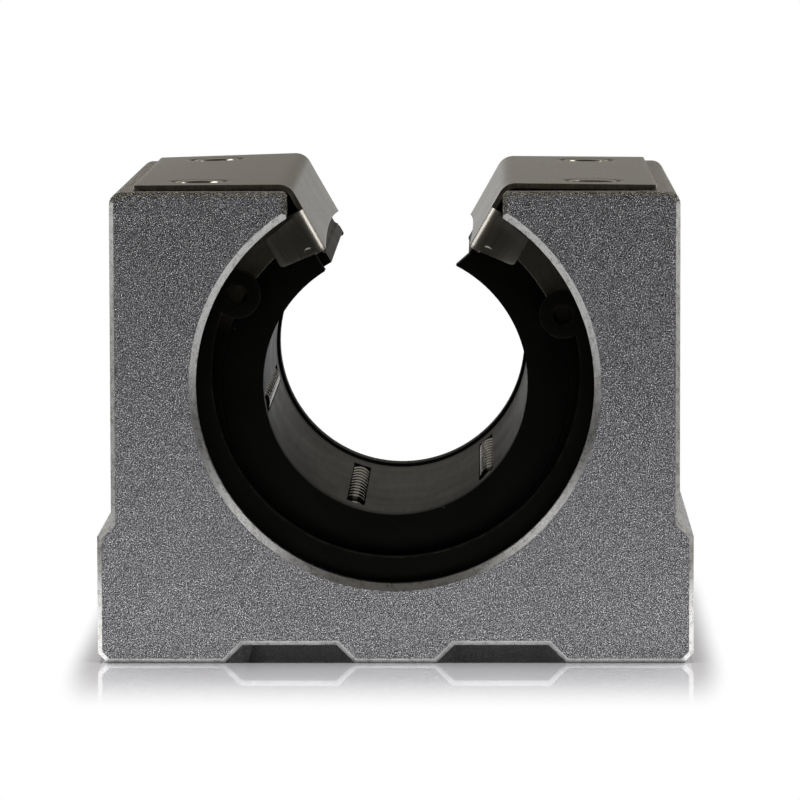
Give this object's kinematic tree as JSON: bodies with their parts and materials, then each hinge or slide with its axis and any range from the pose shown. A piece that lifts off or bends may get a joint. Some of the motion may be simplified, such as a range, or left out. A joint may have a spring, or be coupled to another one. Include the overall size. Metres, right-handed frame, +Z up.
{
  "type": "open linear bearing block",
  "caption": "Flat-based aluminium block that carries an open recirculating-ball bushing for a rail-supported shaft, with folded cover plates on its slotted top.",
  "frame": {"origin": "centre of the flat mounting face, at the bottom of the block", "axes": "+Z up from the mounting face, +Y along the shaft, +X across it; the slot for the shaft's rail opens towards +Z"},
  "size_m": [0.09, 0.09, 0.0723],
  "materials": {
    "block": "satin, blasted and anodised",
    "plate": "brushed",
    "screw": "satin",
    "ring": "dark oxide",
    "seal": "matte",
    "sleeve": "ground",
    "retainer": "matte",
    "ball": "polished"
  },
  "bodies": {
    "root": {"bearing_block": "block", "retaining_plate_left": "plate", "retaining_plate_right": "plate", "plate_screws": "screw", "outer_sleeve": "sleeve", "ball_retainer": "retainer", "snap_ring_front": "ring", "snap_ring_rear": "ring", "seal_front": "seal", "seal_rear": "seal", "loaded_balls_1": "ball", "return_balls_1": "ball", "loaded_balls_2": "ball", "return_balls_2": "ball", "loaded_balls_3": "ball", "return_balls_3": "ball", "loaded_balls_4": "ball", "return_balls_4": "ball", "loaded_balls_5": "ball", "return_balls_5": "ball"}
  },
  "joints": []
}
